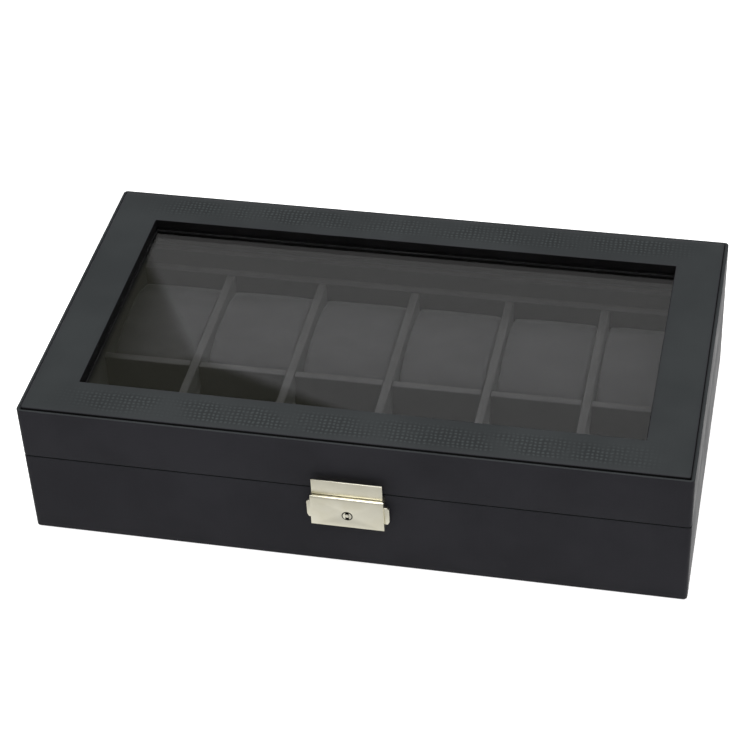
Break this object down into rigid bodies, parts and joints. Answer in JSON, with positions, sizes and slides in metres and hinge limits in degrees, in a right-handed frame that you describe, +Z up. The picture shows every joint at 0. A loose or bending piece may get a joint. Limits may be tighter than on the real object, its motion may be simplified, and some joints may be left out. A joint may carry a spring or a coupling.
{
  "type": "watch box",
  "caption": "Leatherette watch box with a hinged glass-topped lid, a velvet-lined tray of cells with lift-out cushions, and a box lock with push tabs.",
  "frame": {"origin": "centre of the underside, on the bottom felt", "axes": "+X to the right along the length, +Y to the back (hinge side), +Z up"},
  "size_m": [0.335, 0.2004, 0.0798],
  "materials": {
    "leatherette": "black embossed leatherette, satin",
    "mdf": "raw fibreboard",
    "velvet": "short black velvet on card",
    "cushion_velvet": "soft black velvet",
    "felt": "thin black felt",
    "foam": "sheet foam",
    "glass": "clear polished",
    "nickel": "champagne nickel plating, satin",
    "steel": "zinc plated"
  },
  "bodies": {
    "case": {"bottom_felt": "felt", "bottom_board": "mdf", "base_leatherette": "leatherette", "base_front_board": "mdf", "base_back_board": "mdf", "base_left_board": "mdf", "base_right_board": "mdf", "floor_lining": "velvet", "base_liner": "velvet", "long_divider": "velvet", "cross_divider_1": "velvet", "cross_divider_2": "velvet", "cross_divider_3": "velvet", "cross_divider_4": "velvet", "cross_divider_5": "velvet", "lock_case": "nickel", "lock_back_plate": "steel", "latch_spring_left": "steel", "latch_spring_right": "steel", "hinge_left_base_leaf": "steel", "hinge_left_pin": "steel", "hinge_right_base_leaf": "steel", "hinge_right_pin": "steel", "hinge_left_base_screw_1": "steel", "hinge_left_base_screw_2": "steel", "hinge_right_base_screw_1": "steel", "hinge_right_base_screw_2": "steel"},
    "lid": {"lid_leatherette": "leatherette", "lid_front_board": "mdf", "lid_back_board": "mdf", "lid_left_board": "mdf", "lid_right_board": "mdf", "lid_lining": "velvet", "top_frame_board": "mdf", "top_padding": "foam", "top_leatherette": "leatherette", "glass_pane": "glass", "glass_retainer": "velvet", "strike_plate": "nickel", "hinge_left_lid_leaf": "steel", "hinge_right_lid_leaf": "steel", "hinge_left_lid_screw_1": "steel", "hinge_left_lid_screw_2": "steel", "hinge_right_lid_screw_1": "steel", "hinge_right_lid_screw_2": "steel"},
    "left_latch": {"latch_tab_left": "nickel"},
    "right_latch": {"latch_tab_right": "nickel"},
    "key": {"key_barrel": "nickel"},
    "body_cushion_front_1": {"cushion_front_1": "cushion_velvet"},
    "body_cushion_front_2": {"cushion_front_2": "cushion_velvet"},
    "body_cushion_front_3": {"cushion_front_3": "cushion_velvet"},
    "body_cushion_front_4": {"cushion_front_4": "cushion_velvet"},
    "body_cushion_front_5": {"cushion_front_5": "cushion_velvet"},
    "body_cushion_front_6": {"cushion_front_6": "cushion_velvet"},
    "body_cushion_back_1": {"cushion_back_1": "cushion_velvet"},
    "body_cushion_back_2": {"cushion_back_2": "cushion_velvet"},
    "body_cushion_back_3": {"cushion_back_3": "cushion_velvet"},
    "body_cushion_back_4": {"cushion_back_4": "cushion_velvet"},
    "body_cushion_back_5": {"cushion_back_5": "cushion_velvet"},
    "body_cushion_back_6": {"cushion_back_6": "cushion_velvet"}
  },
  "joints": [
    {"name": "lid_hinge", "type": "hinge", "parent": "case", "child": "lid", "pos_m": [0, 0.0973, 0.04865], "axis": [-1, 0, 0], "range_deg": [0, 100]},
    {"name": "left_latch_press", "type": "slide", "parent": "case", "child": "left_latch", "axis": [1, 0, 0], "range_m": [0, 0.002], "stiffness_N_per_m": 300, "springref_m": -0.003, "deforming": ["latch_spring_left"]},
    {"name": "right_latch_press", "type": "slide", "parent": "case", "child": "right_latch", "axis": [-1, 0, 0], "range_m": [0, 0.002], "stiffness_N_per_m": 300, "springref_m": -0.003, "deforming": ["latch_spring_right"]},
    {"name": "key_turn", "type": "hinge", "parent": "case", "child": "key", "pos_m": [0, -0.10125, 0.0374], "axis": [0, 1, 0], "range_deg": [-90, 0]},
    {"name": "cushion_front_1_lift", "type": "slide", "parent": "case", "child": "body_cushion_front_1", "axis": [0, 0, 1], "range_m": [0, 0.028]},
    {"name": "cushion_front_2_lift", "type": "slide", "parent": "case", "child": "body_cushion_front_2", "axis": [0, 0, 1], "range_m": [0, 0.028]},
    {"name": "cushion_front_3_lift", "type": "slide", "parent": "case", "child": "body_cushion_front_3", "axis": [0, 0, 1], "range_m": [0, 0.028]},
    {"name": "cushion_front_4_lift", "type": "slide", "parent": "case", "child": "body_cushion_front_4", "axis": [0, 0, 1], "range_m": [0, 0.028]},
    {"name": "cushion_front_5_lift", "type": "slide", "parent": "case", "child": "body_cushion_front_5", "axis": [0, 0, 1], "range_m": [0, 0.028]},
    {"name": "cushion_front_6_lift", "type": "slide", "parent": "case", "child": "body_cushion_front_6", "axis": [0, 0, 1], "range_m": [0, 0.028]},
    {"name": "cushion_back_1_lift", "type": "slide", "parent": "case", "child": "body_cushion_back_1", "axis": [0, 0, 1], "range_m": [0, 0.028]},
    {"name": "cushion_back_2_lift", "type": "slide", "parent": "case", "child": "body_cushion_back_2", "axis": [0, 0, 1], "range_m": [0, 0.028]},
    {"name": "cushion_back_3_lift", "type": "slide", "parent": "case", "child": "body_cushion_back_3", "axis": [0, 0, 1], "range_m": [0, 0.028]},
    {"name": "cushion_back_4_lift", "type": "slide", "parent": "case", "child": "body_cushion_back_4", "axis": [0, 0, 1], "range_m": [0, 0.028]},
    {"name": "cushion_back_5_lift", "type": "slide", "parent": "case", "child": "body_cushion_back_5", "axis": [0, 0, 1], "range_m": [0, 0.028]},
    {"name": "cushion_back_6_lift", "type": "slide", "parent": "case", "child": "body_cushion_back_6", "axis": [0, 0, 1], "range_m": [0, 0.028]}
  ]
}
